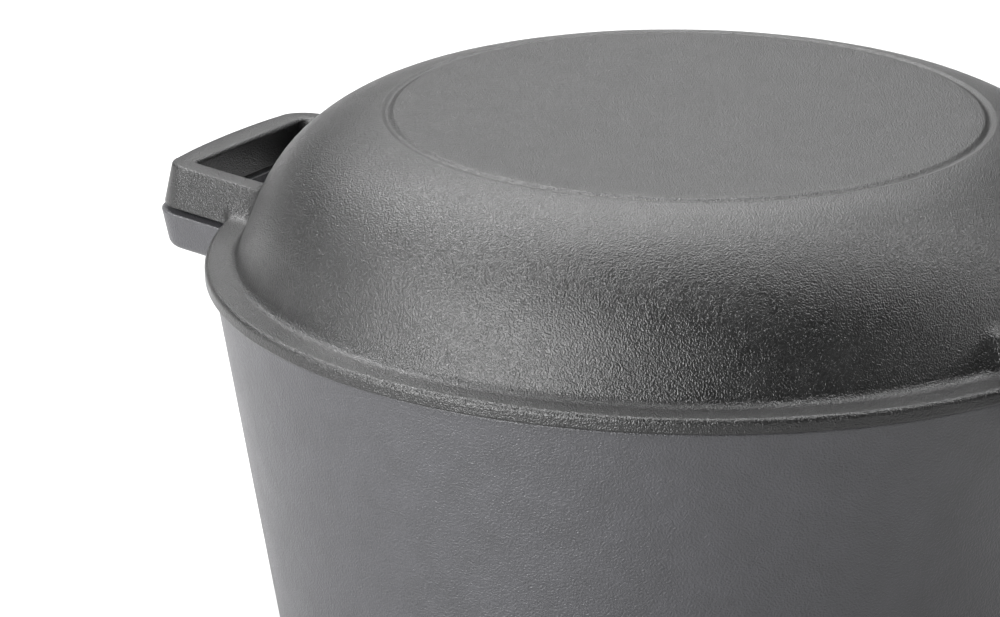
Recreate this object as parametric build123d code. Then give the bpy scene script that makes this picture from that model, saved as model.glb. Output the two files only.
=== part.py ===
from build123d import *
from math import cos, radians, sqrt, tan
import os

# A two-piece cast iron dutch oven. The deep pot stands on the origin with its axis along +Z.
# Its lid is a shallow skillet turned upside down on the rim. Each casting has two loop
# handles, cast in one with it, on the X axis. All sizes are in millimetres and degrees.

# Pot
pot_height = 124.0           # table to rim
rim_radius = 131.6           # outside of the wall at the rim
wall_taper = 9.7             # lean of the wall, from vertical
wall = 4.0                   # wall, measured level
floor_thickness = 4.6
base_corner = 14.0           # outside radius between wall and base
rim_edge = 1.2               # rounding of both rim edges

# Skillet lid
flange_height = 4.2          # outer face of the lid's flange
flange_radius = 134.0        # widest radius of the flange
flange_undercut = 0.1        # how much smaller the flange is at its lower edge
flange_slope = 3.0           # rise of the flange's top face towards the dome
flange_edge = 1.6            # rounding of the flange's upper edge
flange_lower_edge = 0.7
dome_foot_radius = 125.3     # where the dome would meet the flange's upper level
dome_height = 42.1           # above the flange's outer edge
dome_lean = 21.2             # lean of the dome's side, from vertical
dome_shoulder = 44.0         # outside radius between the dome's side and its flat top
foot_fillet = 3.2            # concave fillet between flange and dome
lid_wall = 4.0
locating_ring_drop = 2.0     # ring under the flange that keeps the lid centred
locating_ring_clearance = 0.8
locating_ring_edge = 0.5

# Shallow ring groove round each flat disc: the lid's top and the pot's base
groove_width = 3.2
groove_depth = 0.6
lid_groove_radius = 83.0
pot_groove_radius = 88.0

# Loop handles: outline at the parting plane, where they are largest
handle_reach = 160.7         # pot axis to the middle of the grip's outer face
handle_half_width = 35.0     # half the grip's length, to its corners before rounding
handle_bow_radius = 200.0    # outward bow of the grip's outer face
handle_corner = 12.2
handle_flare = 11.0          # how far the arms splay towards the pot, from the X axis
handle_draft = 11.5          # lean of the outer faces
opening_reach = 151.4        # pot axis to the far side of the finger opening
opening_half_width = 28.8
opening_bow_radius = 2000.0
opening_corner = 4.6
opening_draft = 12.0
handle_root = 100.0          # arms start this far from the axis, inside the walls
opening_root = 80.0
lid_handle_rise = 1.3        # seat to the underside of the lid's handles
lid_handle_height = 12.1
lid_handle_edge = 1.2        # rounding of the lid handles' top edges
pot_handle_drop = 0.2        # rim to the top of the pot's handles
pot_handle_depth = 11.6
pot_handle_edge = 3.0        # rounding of the pot handles' lower edges
pot_handle_extra = 0.7       # how far the pot's handles stand out past the lid's

# Worked out from the sizes above
overshoot = 1.0              # how far a cutting solid runs past what it cuts
lid_wall_level = lid_wall / cos(radians(dome_lean))
seat = pot_height
lid_edge_level = seat + flange_height
lid_top = lid_edge_level + dome_height
mouth_radius = rim_radius - wall
ring_radius = mouth_radius - locating_ring_clearance
on_base = (Align.CENTER, Align.CENTER, Align.MIN)


def wall_radius(height):
    """Outside radius of the pot's wall at a height over the table."""
    return rim_radius - (pot_height - height) * tan(radians(wall_taper))


def dome_radius(height):
    """Outside radius of the dome's straight side at a height over the table."""
    return dome_foot_radius - (height - lid_edge_level) * tan(radians(dome_lean))


def turned(points, radii):
    """A solid of revolution from an outline that starts and ends on the axis."""
    with BuildPart() as solid:
        with BuildSketch(Plane.XZ):
            with BuildLine():
                FilletPolyline(*points, radius=radii)
                Line(points[-1], points[0])
            make_face()
        revolve(axis=Axis.Z)
    return solid.part


def ring_groove(radius, level, side):
    """A ring with a round section that cuts a shallow groove into a flat face."""
    section = (groove_width**2 / 4 + groove_depth**2) / (2 * groove_depth)
    return Pos(0, 0, level + side * (section - groove_depth)) * Torus(radius, section)


def trapezoid(reach, half_width, bow_radius, root, corner):
    """An outline that widens from a bowed grip side towards the pot."""
    corner_reach = reach - bow_radius + sqrt(bow_radius**2 - half_width**2)
    root_half_width = half_width + (corner_reach - root) * tan(radians(handle_flare))
    with BuildSketch() as outline:
        with BuildLine():
            Polyline(
                (corner_reach, half_width),
                (root, root_half_width),
                (root, -root_half_width),
                (corner_reach, -half_width),
            )
            ThreePointArc((corner_reach, -half_width), (reach, 0), (corner_reach, half_width))
        make_face()
        fillet(outline.vertices().group_by(Axis.X)[-1], corner)
    return outline.sketch


def handle_loop(height, extra, edge):
    """Arms and grip standing on the parting plane, narrowing upwards, with rounded top edges."""
    outline = trapezoid(
        handle_reach + extra, handle_half_width + extra, handle_bow_radius, handle_root, handle_corner
    )
    opening = trapezoid(opening_reach, opening_half_width, opening_bow_radius, opening_root, opening_corner)
    loop = extrude(outline, height, taper=handle_draft) - extrude(opening, height, taper=opening_draft)
    top_edges = loop.edges().group_by(Axis.Z)[-1]
    root_edge = top_edges.group_by(Axis.X)[0]
    return fillet([edge_line for edge_line in top_edges if edge_line not in root_edge], edge)


def both_sides(part):
    """The part and its copy turned half round the pot's axis."""
    return part + Rot(0, 0, 180) * part


def pot():
    """The deep pot: a conical wall, a flat base and two handles just under the rim."""
    inner_base = wall_radius(floor_thickness) - wall
    shell = turned(
        [
            (0, 0),
            (wall_radius(0), 0),
            (rim_radius, pot_height),
            (mouth_radius, pot_height),
            (inner_base, floor_thickness),
            (0, floor_thickness),
        ],
        [base_corner, rim_edge, rim_edge, base_corner - wall],
    )
    mid_wall = Cone(wall_radius(0) - wall / 2, rim_radius - wall / 2, pot_height, align=on_base)
    handle = mirror(handle_loop(pot_handle_depth, pot_handle_extra, pot_handle_edge), about=Plane.XY)
    handles = both_sides(Pos(0, 0, pot_height - pot_handle_drop) * handle) - mid_wall
    return shell - ring_groove(pot_groove_radius, 0, -1) + handles


def skillet_lid():
    """The shallow skillet, rim down: a flange with a locating ring, a dome and two handles."""
    foot = lid_edge_level + (flange_radius - dome_foot_radius) * tan(radians(flange_slope))
    ring_bottom = seat - locating_ring_drop
    ceiling = lid_top - lid_wall
    shell = turned(
        [
            (0, ceiling),
            (dome_radius(ceiling) - lid_wall_level, ceiling),
            (dome_radius(ring_bottom) - lid_wall_level, ring_bottom),
            (ring_radius, ring_bottom),
            (ring_radius, seat),
            (flange_radius - flange_undercut, seat),
            (flange_radius, lid_edge_level),
            (dome_radius(foot), foot),
            (dome_radius(lid_top), lid_top),
            (0, lid_top),
        ],
        [
            dome_shoulder - lid_wall,
            locating_ring_edge,
            locating_ring_edge,
            0,
            flange_lower_edge,
            flange_edge,
            foot_fillet,
            dome_shoulder,
        ],
    )
    handle_base = seat + lid_handle_rise
    mid_top = handle_base + lid_handle_height + overshoot
    mid_wall = Cone(
        dome_radius(seat - overshoot) - lid_wall_level / 2,
        dome_radius(mid_top) - lid_wall_level / 2,
        mid_top - seat + overshoot,
        align=on_base,
    )
    handle = handle_loop(lid_handle_height, 0, lid_handle_edge)
    handles = both_sides(Pos(0, 0, handle_base) * handle) - Pos(0, 0, seat - overshoot) * mid_wall
    return shell - ring_groove(lid_groove_radius, lid_top, 1) + handles


os.makedirs("parts", exist_ok=True)
for name, make in (("pot", pot), ("skillet_lid", skillet_lid)):
    casting = make()
    casting.label = name
    export_step(casting, f"parts/{name}.step")
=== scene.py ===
from math import cos, radians, sin, tan

import bmesh
import bpy
import numpy as np
from mathutils import Matrix, Vector, noise


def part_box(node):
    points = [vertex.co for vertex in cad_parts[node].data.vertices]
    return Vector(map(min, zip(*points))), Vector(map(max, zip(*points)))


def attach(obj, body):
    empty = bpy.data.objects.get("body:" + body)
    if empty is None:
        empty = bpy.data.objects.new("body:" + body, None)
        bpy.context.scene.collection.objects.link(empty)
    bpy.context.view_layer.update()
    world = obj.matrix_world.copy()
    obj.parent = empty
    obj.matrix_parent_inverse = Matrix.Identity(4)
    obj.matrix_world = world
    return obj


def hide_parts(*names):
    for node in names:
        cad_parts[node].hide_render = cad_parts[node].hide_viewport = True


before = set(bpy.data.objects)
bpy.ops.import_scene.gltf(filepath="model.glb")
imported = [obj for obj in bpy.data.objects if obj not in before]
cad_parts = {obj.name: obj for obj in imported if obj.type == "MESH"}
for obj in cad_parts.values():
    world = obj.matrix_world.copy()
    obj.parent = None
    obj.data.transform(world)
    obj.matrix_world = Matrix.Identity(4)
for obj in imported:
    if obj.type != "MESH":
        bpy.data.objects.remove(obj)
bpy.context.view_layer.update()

MM = 0.001
POT_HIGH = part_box("pot")[1]
LID_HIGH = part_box("skillet_lid")[1]

# Sizes that the frame doesn't give, in metres and radians
WALL_TAPER = radians(9.7)
WALL = 4.0 * MM
FLOOR_THICKNESS = 4.6 * MM
RIM_RADIUS = 131.6 * MM
BASE_CORNER = 14.0 * MM
RIM_EDGE = 1.2 * MM
FLANGE_HEIGHT = 4.2 * MM
FLANGE_RADIUS = 134.0 * MM
FLANGE_UNDERCUT = 0.1 * MM
FLANGE_SLOPE = radians(3.0)
FLANGE_EDGE = 1.6 * MM
FLANGE_LOWER_EDGE = 0.7 * MM
DOME_FOOT_RADIUS = 125.3 * MM
DOME_LEAN = radians(21.2)
DOME_SHOULDER = 44.0 * MM
FOOT_FILLET = 3.2 * MM
LID_WALL = 4.0 * MM
RING_DROP = 2.0 * MM
RING_CLEARANCE = 0.8 * MM
RING_EDGE = 0.5 * MM
GROOVE_WIDTH = 3.2 * MM
GROOVE_DEPTH = 0.6 * MM
GROOVE_REACH = GROOVE_WIDTH * 0.6    # from its middle line to where it has faded out
LID_GROOVE_RADIUS = 83.0 * MM
POT_GROOVE_RADIUS = 88.0 * MM
HANDLE_REACH = LID_HIGH.x
HANDLE_HALF_WIDTH = 35.0 * MM
HANDLE_BOW_RADIUS = 200.0 * MM
HANDLE_CORNER = 12.2 * MM
HANDLE_FLARE = radians(11.0)
HANDLE_DRAFT = radians(11.5)
OPENING_REACH = 151.4 * MM
OPENING_HALF_WIDTH = 28.8 * MM
OPENING_BOW_RADIUS = 2.0             # all but straight
OPENING_CORNER = 4.6 * MM
OPENING_DRAFT = radians(12.0)
HANDLE_ROOT = 108.0 * MM             # X of an arm's end, before it is set in the wall
ARM_START = 126.0 * MM               # X where the arm's even stations begin
LID_HANDLE_RISE = 1.3 * MM
LID_HANDLE_HEIGHT = 12.1 * MM
LID_HANDLE_EDGE = 1.2 * MM
POT_HANDLE_DROP = 0.2 * MM
POT_HANDLE_DEPTH = 11.6 * MM
POT_HANDLE_EDGE = 3.0 * MM
PARTING_EDGE = 0.4 * MM

SEAT = POT_HIGH.z
LID_TOP = LID_HIGH.z
POT_EXTRA = POT_HIGH.x - LID_HIGH.x
LID_EDGE_LEVEL = SEAT + FLANGE_HEIGHT
LID_WALL_LEVEL = LID_WALL / cos(DOME_LEAN)

# Fineness of the meshes
SEGMENTS = 288
UNDIVIDED = 1.0                      # a step longer than any run
GROOVE_STEP = GROOVE_WIDTH / 12
RUN_STEP = 3.0 * MM
HOLD = 0.3 * MM
ARC_TURN = radians(12)
ARM_STATIONS = 12
CORNER_STATIONS = 12
GRIP_STATIONS = 25
EDGE_POINTS = 6
LEAST_FACING = 0.5                   # keeps a handle's draft finite where its two outlines turn apart

# Fillets where the arms meet the shell
JOINT_FILLET = 4.5 * MM
FILLET_RISE = 3.0 * MM               # height over the parting plane at which the fillet is full
LEAST_FILLET = 0.01                  # share of the fillet left at the parting plane
JOINT_END = 140.0 * MM
JOINT_HALF_WIDTH = HANDLE_HALF_WIDTH * 1.6
CORE_RADIUS = 95.0 * MM              # the shell inside this is too far from an arm to matter
JOINT_STEP = 0.9 * MM
LONG_EDGE = JOINT_STEP * 1.4         # edges over this are divided
SHORT_EDGE = JOINT_STEP * 0.3        # edges under this are closed up
JOINT_ROUNDS = 4
SETTLE_ROUNDS = 4
SLOPE_STEP = 0.02 * MM
LEAST_SLOPE_SQUARED = 0.2           # keeps a step finite where the distances level out

# Unevenness of the cast skin
SWELL_DEPTH = 0.12 * MM
SWELL_SIZE = 14.0 * MM
SWELL_FADE = 3.0 * MM


# Outlines: each is a list of (radius, height) points, in metres

def run(start, end, step, hold=0):
    """Points from start towards end, without end, at most a step apart, with two more that hold its ends."""
    length = np.linalg.norm(end - start)
    count = max(1, int(np.ceil(length / step)))
    shares = {i / count for i in range(count)}
    if 0 < hold < length / 4:
        shares |= {hold / length, 1 - hold / length}
    return [start + (end - start) * share for share in sorted(shares)]


def corner_circle(before, corner, after, radius):
    """The circle that rounds a corner: its middle, its tangent points as seen from there, and its sweep."""
    back = (before - corner) / np.linalg.norm(before - corner)
    ahead = (after - corner) / np.linalg.norm(after - corner)
    half = np.arccos(np.clip(back @ ahead, -1, 1)) / 2
    middle = corner + (back + ahead) / np.linalg.norm(back + ahead) * radius / np.sin(half)
    first = corner + back * radius / np.tan(half) - middle
    last = corner + ahead * radius / np.tan(half) - middle
    return middle, first, last, np.pi - 2 * half


def arc_point(circle, share):
    """The point that lies a share of the sweep along a corner's arc."""
    middle, first, last, sweep = circle
    turned = np.sin(sweep * (1 - share)) * first + np.sin(sweep * share) * last
    return middle + turned / np.sin(sweep)


def corner_arc(before, corner, after, radius):
    """Points of the arc that rounds a corner, from one tangent point to the other."""
    circle = corner_circle(before, corner, after, radius)
    sweep = circle[-1]
    count = max(3, int(np.ceil(max(sweep / ARC_TURN, sweep * radius / RUN_STEP))))
    return [arc_point(circle, i / count) for i in range(count + 1)]


def rounded(points, radii, step):
    """An open outline through the points, with its corners rounded and its straight runs divided."""
    points = [np.array(p, float) for p in points]
    stops = [[points[0]]]
    for before, corner, after, radius in zip(points, points[1:], points[2:], radii):
        stops.append(corner_arc(before, corner, after, radius))
    stops.append([points[-1]])
    outline = []
    for here, following in zip(stops, stops[1:]):
        outline += here[:-1] + run(here[-1], following[0], step, HOLD)
    return np.array(outline + [points[-1]])


def grooved(outline, radius, level, side):
    """The outline with a shallow groove, round in section, sunk into its face at a level."""
    near = np.abs(outline[:, 1] - level) < GROOVE_WIDTH
    fine = []
    for i, point in enumerate(outline[:-1]):
        reach = np.abs(np.array([point[0], outline[i + 1, 0]]) - radius).min()
        dense = near[i] and near[i + 1] and reach < GROOVE_WIDTH * 2
        fine += run(point, outline[i + 1], GROOVE_STEP if dense else UNDIVIDED)
    fine = np.array(fine + [outline[-1]])
    across = np.clip(np.abs(fine[:, 0] - radius) / GROOVE_REACH, 0, 1)
    face = np.abs(fine[:, 1] - level) < GROOVE_WIDTH
    fine[:, 1] -= side * face * GROOVE_DEPTH * (0.5 + 0.5 * np.cos(np.pi * across))
    return fine


def revolved(name, outline):
    """A closed shell from an outline that starts and ends on the axis."""
    ring = np.linspace(0, 2 * np.pi, SEGMENTS, endpoint=False)
    rows = outline[1:-1]
    grid = np.stack(
        [
            rows[:, :1] * np.cos(ring),
            rows[:, :1] * np.sin(ring),
            np.repeat(rows[:, 1:], SEGMENTS, axis=1),
        ],
        axis=-1,
    )
    vertices = [tuple(v) for v in grid.reshape(-1, 3)]
    vertices += [(0, 0, outline[0, 1]), (0, 0, outline[-1, 1])]
    first, last = len(vertices) - 2, len(vertices) - 1
    faces = []
    for k in range(SEGMENTS):
        following = (k + 1) % SEGMENTS
        faces.append((first, k, following))
        for row in range(len(rows) - 1):
            low, high = row * SEGMENTS, (row + 1) * SEGMENTS
            faces.append((low + k, high + k, high + following, low + following))
        end = (len(rows) - 1) * SEGMENTS
        faces.append((last, end + following, end + k))
    return mesh_object(name, vertices, faces)


def mesh_object(name, vertices, faces):
    """An object in the scene from vertices and faces, with its faces turned outwards."""
    mesh = bpy.data.meshes.new(name)
    mesh.from_pydata(vertices, [], faces)
    shell = bmesh.new()
    shell.from_mesh(mesh)
    bmesh.ops.recalc_face_normals(shell, faces=shell.faces)
    shell.to_mesh(mesh)
    shell.free()
    made = bpy.data.objects.new(name, mesh)
    bpy.context.scene.collection.objects.link(made)
    return made


# Loop handles

def tip(reach, half_width, bow_radius):
    """Where the bow of a grip would meet the straight arm, without a rounded corner."""
    return np.array([reach - bow_radius + np.sqrt(bow_radius**2 - half_width**2), half_width])


def loop_line(reach, half_width, bow_radius, corner):
    """Stations along a handle outline at its parting plane, from one arm round the grip to the other.

    Each station is (place, outward direction), both level. Both outlines of a handle have the
    same number of stations, so that the sections between them are simple."""
    flare = HANDLE_FLARE
    arm = np.array([-np.cos(flare), np.sin(flare)])
    arm_out = np.array([np.sin(flare), np.cos(flare)])
    crossing = tip(reach, half_width, bow_radius)
    lean = np.arcsin(half_width / bow_radius)
    grip_out = np.array([np.cos(lean), np.sin(lean)])
    half = np.arccos(np.clip(arm @ np.array([np.sin(lean), -np.cos(lean)]), -1, 1)) / 2
    back_off = corner / np.tan(half)
    middle = crossing + arm * back_off - arm_out * corner
    stations = []
    start = crossing + arm * back_off
    for x in (HANDLE_ROOT, *np.linspace(ARM_START, start[0], ARM_STATIONS - 1, endpoint=False)):
        stations.append((crossing + arm * (crossing[0] - x) / np.cos(flare), arm_out))
    for t in np.linspace(0, 1, CORNER_STATIONS, endpoint=False):
        out = arm_out * (1 - t) + grip_out * t
        out /= np.linalg.norm(out)
        stations.append((middle + out * corner, out))
    bow_middle = np.array([reach - bow_radius, 0.0])
    end = middle + grip_out * corner
    top_angle = np.arctan2(end[1], end[0] - bow_middle[0])
    for angle in np.linspace(top_angle, -top_angle, GRIP_STATIONS):
        out = np.array([np.cos(angle), np.sin(angle)])
        stations.append((bow_middle + out * bow_radius, out))
    flip = np.array([1.0, -1.0])
    mirrored = [(place * flip, out * flip) for place, out in stations[: ARM_STATIONS + CORNER_STATIONS]]
    return stations + mirrored[::-1]


def section(width, outer_lean, inner_lean, height, edge):
    """A closed section of a handle, in (across, up), standing on its parting plane."""
    corners = [
        (0, 0),
        (width, 0),
        (width - height * outer_lean, height),
        (-height * inner_lean, height),
    ]
    corners = [np.array(c, float) for c in corners]
    radii = (PARTING_EDGE, PARTING_EDGE, edge, edge)
    points = []
    for i, radius in enumerate(radii):
        circle = corner_circle(corners[i - 1], corners[i], corners[(i + 1) % 4], radius)
        points += [arc_point(circle, share) for share in np.linspace(0, 1, EDGE_POINTS)]
    return np.array(points)


def handle(name, side, parting, up, height, extra, edge, root_radius):
    """One loop handle. side is 1 or -1 along X; up is 1 if it stands on the parting plane, -1 if it hangs."""
    outer = loop_line(HANDLE_REACH + extra, HANDLE_HALF_WIDTH + extra, HANDLE_BOW_RADIUS, HANDLE_CORNER)
    inner = loop_line(OPENING_REACH, OPENING_HALF_WIDTH, OPENING_BOW_RADIUS, OPENING_CORNER)
    rings = []
    for (outside, out), (inside, inner_out) in zip(outer, inner):
        across = outside - inside
        width = np.linalg.norm(across)
        across /= width
        outer_lean = np.tan(HANDLE_DRAFT) / max(across @ out, LEAST_FACING)
        inner_lean = np.tan(OPENING_DRAFT) / max(across @ inner_out, LEAST_FACING)
        ring = [
            (*(inside + across * out_by), parting + up * up_by)
            for out_by, up_by in section(width, outer_lean, inner_lean, height, edge)
        ]
        rings.append(np.array(ring))
    for end, following in ((0, 1), (-1, -2)):
        rings[end] = set_in_wall(rings[end], rings[following], root_radius)
    count = len(rings[0])
    vertices = [(x * side, y * side, z) for ring in rings for x, y, z in ring]
    faces = [tuple(range(count)), tuple(range(len(vertices) - count, len(vertices)))]
    for i in range(len(rings) - 1):
        near, far = i * count, (i + 1) * count
        for k in range(count):
            following = (k + 1) % count
            faces.append((near + k, far + k, far + following, near + following))
    return mesh_object(name, vertices, faces)


def set_in_wall(ring, following, root_radius):
    """The last section of an arm, moved along the arm to end inside the wall of the casting."""
    along = following - ring
    along[:, 2] = 0
    placed = ring.copy()
    for i, (point, way) in enumerate(zip(ring, along)):
        wanted = root_radius(point[2])
        # Terms of the quadratic for how far along the arm that radius is reached
        a = way[:2] @ way[:2]
        b = 2 * point[:2] @ way[:2]
        c = point[:2] @ point[:2] - wanted**2
        placed[i] = point + way * (-b + np.sqrt(b * b - 4 * a * c)) / (2 * a)
    return placed


# Castings

def wall_radius(height):
    """Outside radius of the pot's wall at a height."""
    return RIM_RADIUS - (SEAT - height) * tan(WALL_TAPER)


def dome_radius(height):
    """Outside radius of the dome's straight side at a height."""
    return DOME_FOOT_RADIUS - (height - LID_EDGE_LEVEL) * tan(DOME_LEAN)


def pot_core(height):
    """Radius in the middle of the pot's wall at a height."""
    return wall_radius(height) - WALL / 2


def lid_core(height):
    """Radius in the middle of the dome's wall at a height."""
    return dome_radius(height) - LID_WALL_LEVEL / 2


def pot_outline():
    """The pot's section: floor, inside wall, rim, outside wall and grooved base."""
    inner_base = wall_radius(FLOOR_THICKNESS) - WALL
    outline = rounded(
        [
            (0, FLOOR_THICKNESS),
            (inner_base, FLOOR_THICKNESS),
            (RIM_RADIUS - WALL, SEAT),
            (RIM_RADIUS, SEAT),
            (wall_radius(0), 0),
            (0, 0),
        ],
        [BASE_CORNER - WALL, RIM_EDGE, RIM_EDGE, BASE_CORNER],
        RUN_STEP,
    )
    return grooved(outline, POT_GROOVE_RADIUS, 0, -1)


def lid_outline():
    """The lid's section: ceiling, inside of the dome, locating ring, flange, dome and grooved disc."""
    foot = LID_EDGE_LEVEL + (FLANGE_RADIUS - DOME_FOOT_RADIUS) * tan(FLANGE_SLOPE)
    ring_radius = RIM_RADIUS - WALL - RING_CLEARANCE
    ring_bottom = SEAT - RING_DROP
    ceiling = LID_TOP - LID_WALL
    outline = rounded(
        [
            (0, ceiling),
            (dome_radius(ceiling) - LID_WALL_LEVEL, ceiling),
            (dome_radius(ring_bottom) - LID_WALL_LEVEL, ring_bottom),
            (ring_radius, ring_bottom),
            (ring_radius, SEAT),
            (FLANGE_RADIUS - FLANGE_UNDERCUT, SEAT),
            (FLANGE_RADIUS, LID_EDGE_LEVEL),
            (dome_radius(foot), foot),
            (dome_radius(LID_TOP), LID_TOP),
            (0, LID_TOP),
        ],
        [
            DOME_SHOULDER - LID_WALL,
            RING_EDGE,
            RING_EDGE,
            RING_EDGE,
            FLANGE_LOWER_EDGE,
            FLANGE_EDGE,
            FOOT_FILLET,
            DOME_SHOULDER,
        ],
        RUN_STEP,
    )
    return grooved(outline, LID_GROOVE_RADIUS, LID_TOP, 1)


def distance_from(outline, points):
    """Distance of each point of a plane from a closed outline, less than zero inside it."""
    nearest = np.full(len(points), np.inf)
    inside = np.zeros(len(points), bool)
    for start, end in zip(outline, np.roll(outline, -1, axis=0)):
        way = end - start
        off = points - start
        share = np.clip(off @ way / (way @ way), 0, 1)
        nearest = np.minimum(nearest, np.linalg.norm(off - share[:, None] * way, axis=1))
        if way[1] != 0:
            spans = (start[1] > points[:, 1]) != (end[1] > points[:, 1])
            inside ^= spans & (off[:, 0] < off[:, 1] * way[0] / way[1])
    return np.where(inside, -nearest, nearest)


class Joint:
    """The place where the four arms of a casting's handles leave its shell, as distances from each."""

    def __init__(self, outline, root, parting, up, height, extra, edge):
        self.outline = outline[outline[:, 0] > CORE_RADIUS]
        self.root = root
        self.parting = parting
        self.up = up
        self.out = np.array([np.sin(HANDLE_FLARE), np.cos(HANDLE_FLARE)])
        self.inside = tip(OPENING_REACH, OPENING_HALF_WIDTH, OPENING_BOW_RADIUS)
        outside = tip(HANDLE_REACH + extra, HANDLE_HALF_WIDTH + extra, HANDLE_BOW_RADIUS)
        width = (outside - self.inside) @ self.out
        self.section = section(width, np.tan(HANDLE_DRAFT), np.tan(OPENING_DRAFT), height, edge)

    def parts(self, places):
        """Distances from the shell and from the nearest arm, and the fillet's reach at each place."""
        level = np.stack([np.hypot(places[:, 0], places[:, 1]), places[:, 2]], axis=1)
        shell = distance_from(self.outline, level)
        above = self.up * (places[:, 2] - self.parting)
        across = (np.abs(places[:, :2]) - self.inside) @ self.out
        arm = distance_from(self.section, np.stack([across, above], axis=1))
        reach = JOINT_FILLET * np.clip(above / FILLET_RISE, LEAST_FILLET, 1)
        return shell, arm, reach

    def blend(self, places):
        """Distance from the shell and arms with a fillet between them."""
        shell, arm, reach = self.parts(places)
        share = np.clip(1 - np.abs(shell - arm) / reach, 0, 1)
        return np.minimum(shell, arm) - share**2 * reach / 4

    def slope(self, places):
        """How the blended distance grows along X, Y and Z at each place."""
        rises = [self.blend(places + way) - self.blend(places - way) for way in np.eye(3) * SLOPE_STEP]
        return np.stack([rise / (2 * SLOPE_STEP) for rise in rises], axis=1)


def cast(name, shell, handles, joint):
    """One casting: the shell and its handles as one closed mesh, with a fillet where they meet."""
    for loop in handles:
        union = shell.modifiers.new(loop.name, "BOOLEAN")
        union.operation = "UNION"
        union.solver = "EXACT"
        union.object = loop
    bpy.context.view_layer.update()
    mesh = bpy.data.meshes.new_from_object(shell.evaluated_get(bpy.context.evaluated_depsgraph_get()))
    mesh.name = name
    for spent in (shell, *handles):
        bpy.data.objects.remove(spent)
    casting = bpy.data.objects.new(name, mesh)
    bpy.context.scene.collection.objects.link(casting)
    form = bmesh.new()
    form.from_mesh(mesh)
    for _ in range(JOINT_ROUNDS):
        refine(form, joint)
    form.to_mesh(mesh)
    form.free()
    swell(mesh)
    mesh.shade_smooth()
    return casting


def swell(mesh):
    """Gives the skin the slight unevenness of a sand casting, but not where it seats or stands."""
    ways = [vertex.normal.copy() for vertex in mesh.vertices]
    places = [vertex.co.copy() for vertex in mesh.vertices]
    for place, way in zip(places, ways):
        clear = min(abs(place.z - SEAT), abs(place.z), SWELL_FADE) / SWELL_FADE
        sunk = (1 - noise.noise(place / SWELL_SIZE)) / 2
        place -= way * (SWELL_DEPTH * clear * sunk)
    mesh.vertices.foreach_set("co", np.array(places, np.float32).ravel())
    mesh.update()


def joint_vertices(form, joint, margin):
    """Vertices that the fillet reaches, with a margin, on the outside of the casting."""
    form.verts.ensure_lookup_table()
    places = np.array([v.co for v in form.verts])
    close = (np.abs(places[:, 0]) > HANDLE_ROOT) & (np.abs(places[:, 0]) < JOINT_END)
    close &= np.abs(places[:, 1]) < JOINT_HALF_WIDTH
    picked = np.nonzero(close)[0]
    shell, arm, reach = joint.parts(places[picked])
    near = np.abs(shell - arm) < reach + margin
    near &= np.hypot(*places[picked, :2].T) > joint.root(places[picked, 2])
    return [form.verts[i] for i in picked[near]]


def triangulate_round(form, close):
    """Splits the faces that touch these vertices into triangles."""
    touching = [face for face in form.faces if any(vertex in close for vertex in face.verts)]
    bmesh.ops.triangulate(form, faces=touching)


def refine(form, joint):
    """Divides the faces round each joint, evens them out and sets them on the fillet."""
    close = set(joint_vertices(form, joint, JOINT_STEP))
    triangulate_round(form, close)
    long_edges = {edge for vertex in close for edge in vertex.link_edges if edge.calc_length() > LONG_EDGE}
    bmesh.ops.subdivide_edges(form, edges=list(long_edges), cuts=1)
    close = set(joint_vertices(form, joint, 0))
    inner = [face for face in form.faces if all(vertex in close for vertex in face.verts)]
    triangulate_round(form, close)
    edges = {edge for face in inner if face.is_valid for edge in face.edges}
    bmesh.ops.dissolve_degenerate(form, dist=SHORT_EDGE, edges=[edge for edge in edges if edge.is_valid])
    movable = joint_vertices(form, joint, 0)
    if movable:
        settle(movable, joint)


def settle(vertices, joint):
    """Moves vertices onto the fillet between the shell and the arms."""
    places = np.array([v.co for v in vertices])
    for _ in range(SETTLE_ROUNDS):
        slope = joint.slope(places)
        size = np.maximum((slope**2).sum(axis=1), LEAST_SLOPE_SQUARED)
        places -= slope * (joint.blend(places) / size)[:, None]
    for vertex, place in zip(vertices, places):
        vertex.co = place


def make_pot():
    """The pot with its two hanging handles."""
    form = (SEAT - POT_HANDLE_DROP, -1, POT_HANDLE_DEPTH, POT_EXTRA, POT_HANDLE_EDGE)
    handles = [handle(f"pot_loop_{side}", side, *form, pot_core) for side in (1, -1)]
    outline = pot_outline()
    return cast("pot_casting", revolved("pot_shell", outline), handles, Joint(outline, pot_core, *form))


def make_lid():
    """The lid with its two standing handles."""
    form = (SEAT + LID_HANDLE_RISE, 1, LID_HANDLE_HEIGHT, 0, LID_HANDLE_EDGE)
    handles = [handle(f"lid_loop_{side}", side, *form, lid_core) for side in (1, -1)]
    outline = lid_outline()
    return cast("lid_casting", revolved("lid_shell", outline), handles, Joint(outline, lid_core, *form))


# Camera

CAMERA_AZIMUTH = radians(29.97)      # round the pot from -Y towards +X
CAMERA_DISTANCE = 1.200              # level distance from the pot's axis
CAMERA_HEIGHT = 0.5186               # over the table
CAMERA_PITCH = radians(18.728)
CAMERA_YAW = radians(2.469)          # turned left of the axis
CAMERA_ROLL = radians(0.257)
SENSOR = 36.0
LENS = 162.82
CLIP_NEAR = 0.05
CLIP_FAR = 60.0


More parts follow.
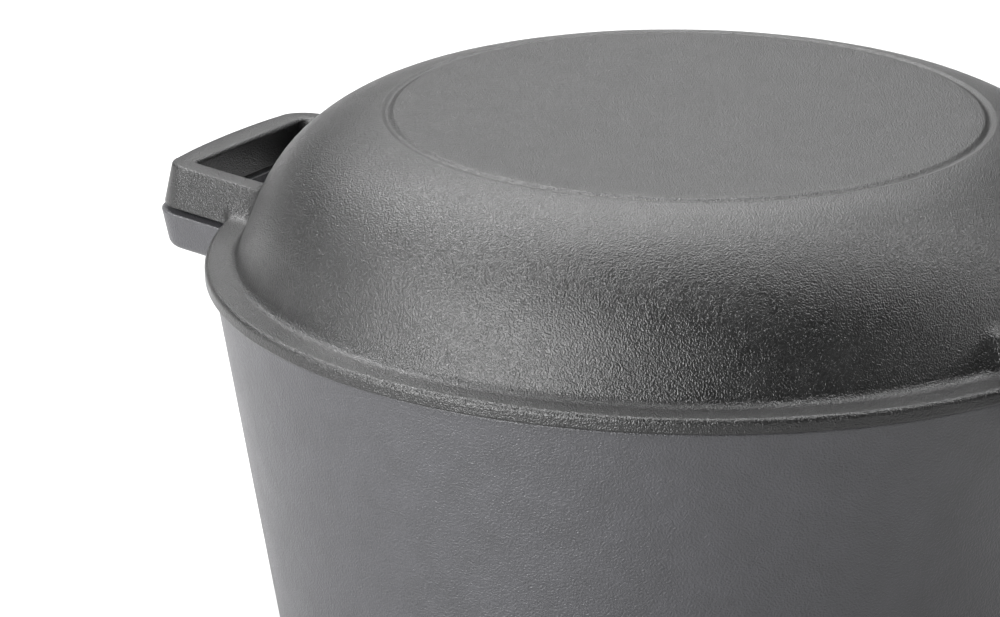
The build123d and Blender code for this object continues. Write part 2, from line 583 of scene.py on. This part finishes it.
def make_camera():
    """A long lens from the front right, a little above the lid, cutting off the right handle and the base."""
    data = bpy.data.cameras.new("camera")
    data.sensor_width = SENSOR
    data.lens = LENS
    data.clip_start = CLIP_NEAR
    data.clip_end = CLIP_FAR
    heading = CAMERA_AZIMUTH + CAMERA_YAW
    forward = Vector(
        (-sin(heading) * cos(CAMERA_PITCH), cos(heading) * cos(CAMERA_PITCH), -sin(CAMERA_PITCH))
    )
    level = Vector((cos(heading), sin(heading), 0.0))
    upright = level.cross(forward)
    right = level * cos(CAMERA_ROLL) + upright * sin(CAMERA_ROLL)
    up = upright * cos(CAMERA_ROLL) - level * sin(CAMERA_ROLL)
    place = Vector(
        (sin(CAMERA_AZIMUTH) * CAMERA_DISTANCE, -cos(CAMERA_AZIMUTH) * CAMERA_DISTANCE, CAMERA_HEIGHT)
    )
    camera = bpy.data.objects.new("camera", data)
    camera.matrix_world = Matrix((right, up, -forward)).transposed().to_4x4()
    camera.location = place
    bpy.context.scene.collection.objects.link(camera)
    bpy.context.scene.camera = camera


# Studio

FLOOR_HALF_WIDTH = 15.0
FLOOR_GREY = 0.48
FLOOR_ROUGHNESS = 0.9
SWEEP_START = 1.0                    # distances from the pot between which the floor turns white
SWEEP_END = 3.0
AMBIENT = 0.02
LIGHT_DISTANCE = 2.2
LIGHT_SIZE = 0.9
WHITE = (1, 1, 1, 1)


def node(tree, kind, **values):
    """A shader node with the given values on its named inputs."""
    made = tree.nodes.new(kind)
    for socket, value in values.items():
        made.inputs[socket.replace("_", " ")].default_value = value
    return made


def make_floor():
    """A wide pale floor under the pot, which fades to white like a studio sweep far from it."""
    half = FLOOR_HALF_WIDTH
    corners = [(-half, -half, 0), (half, -half, 0), (half, half, 0), (-half, half, 0)]
    mesh = bpy.data.meshes.new("floor")
    mesh.from_pydata(corners, [], [(0, 1, 2, 3)])
    floor = bpy.data.objects.new("floor", mesh)
    bpy.context.scene.collection.objects.link(floor)
    material = bpy.data.materials.new("floor")
    material.use_nodes = True
    tree = material.node_tree
    shader = tree.nodes["Principled BSDF"]
    shader.inputs["Base Color"].default_value = (FLOOR_GREY, FLOOR_GREY, FLOOR_GREY, 1)
    shader.inputs["Roughness"].default_value = FLOOR_ROUGHNESS
    shader.inputs["Emission Color"].default_value = WHITE
    place = tree.nodes.new("ShaderNodeTexCoord")
    distance = tree.nodes.new("ShaderNodeVectorMath")
    distance.operation = "LENGTH"
    tree.links.new(place.outputs["Object"], distance.inputs[0])
    glow = node(tree, "ShaderNodeMapRange", From_Min=SWEEP_START, From_Max=SWEEP_END)
    glow.interpolation_type = "SMOOTHSTEP"
    tree.links.new(distance.outputs["Value"], glow.inputs["Value"])
    tree.links.new(glow.outputs["Result"], shader.inputs["Emission Strength"])
    mesh.materials.append(material)


def softbox(name, azimuth, elevation, power):
    """A square light aimed at the pot, with its power in watts.

    Both angles are in degrees, and azimuth is counted from the camera's side, to the right."""
    data = bpy.data.lights.new(name, "AREA")
    data.shape = "SQUARE"
    data.size = LIGHT_SIZE
    data.energy = power
    light = bpy.data.objects.new(name, data)
    turn = CAMERA_AZIMUTH + radians(azimuth)
    rise = radians(elevation)
    place = Vector((sin(turn) * cos(rise), -cos(turn) * cos(rise), sin(rise))) * LIGHT_DISTANCE
    light.rotation_mode = "QUATERNION"
    light.rotation_quaternion = place.to_track_quat("Z", "Y")
    light.location = place + Vector((0, 0, SEAT))
    bpy.context.scene.collection.objects.link(light)


def make_world():
    """White where the camera sees it, with little light of its own, and brightness shown as it is."""
    world = bpy.data.worlds.new("studio")
    bpy.context.scene.world = world
    world.use_nodes = True
    tree = world.node_tree
    background = tree.nodes["Background"]
    background.inputs["Color"].default_value = WHITE
    seen = tree.nodes.new("ShaderNodeLightPath")
    strength = node(tree, "ShaderNodeMapRange", To_Min=AMBIENT, To_Max=1.0)
    tree.links.new(seen.outputs["Is Camera Ray"], strength.inputs["Value"])
    tree.links.new(strength.outputs["Result"], background.inputs["Strength"])
    bpy.context.scene.view_settings.view_transform = "Standard"


def make_lights():
    """Soft light from the left and behind, with the front right left dark."""
    softbox("left_low", -42, 8, 62)
    softbox("left", -45, 28, 32)
    softbox("left_side", -75, 28, 42)
    softbox("left_back", -135, 48, 45)
    softbox("left_top", -150, 70, 14)
    softbox("right_top", 165, 72, 22)
    softbox("back", 180, 50, 9)
    softbox("back_low", 180, 26, 7)
    softbox("right_back", 108, 50, 36)
    softbox("right_low", 105, 8, 16)


# Materials

SKIN_PATCH = 9.0 * MM
GLOSS_PATCH = 14.0 * MM
NOISE_LOW = 0.3                      # noise past these two limits is cut off
NOISE_HIGH = 0.7
SKIN_DETAIL = 4.0                    # octaves of each pattern
GLOSS_DETAIL = 2.0
PEBBLE_DETAIL = 1.0
GRAIN_DETAIL = 1.5


def patches(tree, size, low, high, detail):
    """A value that wanders between low and high in soft patches about as large as size."""
    place = tree.nodes.new("ShaderNodeTexCoord")
    pattern = node(tree, "ShaderNodeTexNoise", Scale=1 / size, Detail=detail)
    tree.links.new(place.outputs["Object"], pattern.inputs["Vector"])
    limits = node(
        tree, "ShaderNodeMapRange", From_Min=NOISE_LOW, From_Max=NOISE_HIGH, To_Min=low, To_Max=high
    )
    tree.links.new(pattern.outputs["Fac"], limits.inputs["Value"])
    return limits.outputs["Result"]


def bumped(tree, height, depth, under=None):
    """A normal that is bumped by a height, on top of another bump."""
    bump = node(tree, "ShaderNodeBump", Distance=depth)
    tree.links.new(height, bump.inputs["Height"])
    if under:
        tree.links.new(under, bump.inputs["Normal"])
    return bump.outputs["Normal"]


def iron(name, dark, light, roughness, grain, pebbles):
    """Seasoned cast iron: an uneven dark skin over a sandy grain and larger pebbles.

    grain and pebbles are (size, depth). dark and light are the two colours that the skin wanders
    between, and roughness the limits of its gloss."""
    material = bpy.data.materials.new(name)
    material.use_nodes = True
    tree = material.node_tree
    shader = tree.nodes["Principled BSDF"]
    mix = tree.nodes.new("ShaderNodeMix")
    mix.data_type = "RGBA"
    mix.inputs["A"].default_value = (*dark, 1)
    mix.inputs["B"].default_value = (*light, 1)
    tree.links.new(patches(tree, SKIN_PATCH, 0, 1, SKIN_DETAIL), mix.inputs["Factor"])
    tree.links.new(mix.outputs["Result"], shader.inputs["Base Color"])
    tree.links.new(patches(tree, GLOSS_PATCH, *roughness, GLOSS_DETAIL), shader.inputs["Roughness"])
    lumps = bumped(tree, patches(tree, pebbles[0], 0, 1, PEBBLE_DETAIL), pebbles[1])
    sand = bumped(tree, patches(tree, grain[0], 0, 1, GRAIN_DETAIL), grain[1], lumps)
    tree.links.new(sand, shader.inputs["Normal"])
    return material


def pot_iron():
    """The pot's skin: satin and slightly blue."""
    return iron(
        "pot_iron",
        dark=(0.031, 0.031, 0.034),
        light=(0.037, 0.037, 0.041),
        roughness=(0.38, 0.43),
        grain=(0.55 * MM, 0.12 * MM),
        pebbles=(3.0 * MM, 0.04 * MM),
    )


def lid_iron():
    """The lid's skin: blacker, glossier and more finely pebbled."""
    return iron(
        "lid_iron",
        dark=(0.004, 0.004, 0.004),
        light=(0.009, 0.009, 0.009),
        roughness=(0.28, 0.32),
        grain=(0.45 * MM, 0.13 * MM),
        pebbles=(1.0 * MM, 0.03 * MM),
    )


make_camera()
make_floor()
make_world()
make_lights()
pot = make_pot()
pot.data.materials.append(pot_iron())
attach(pot, "pot")
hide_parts("pot")
lid = make_lid()
lid.data.materials.append(lid_iron())
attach(lid, "lid")
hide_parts("skillet_lid")
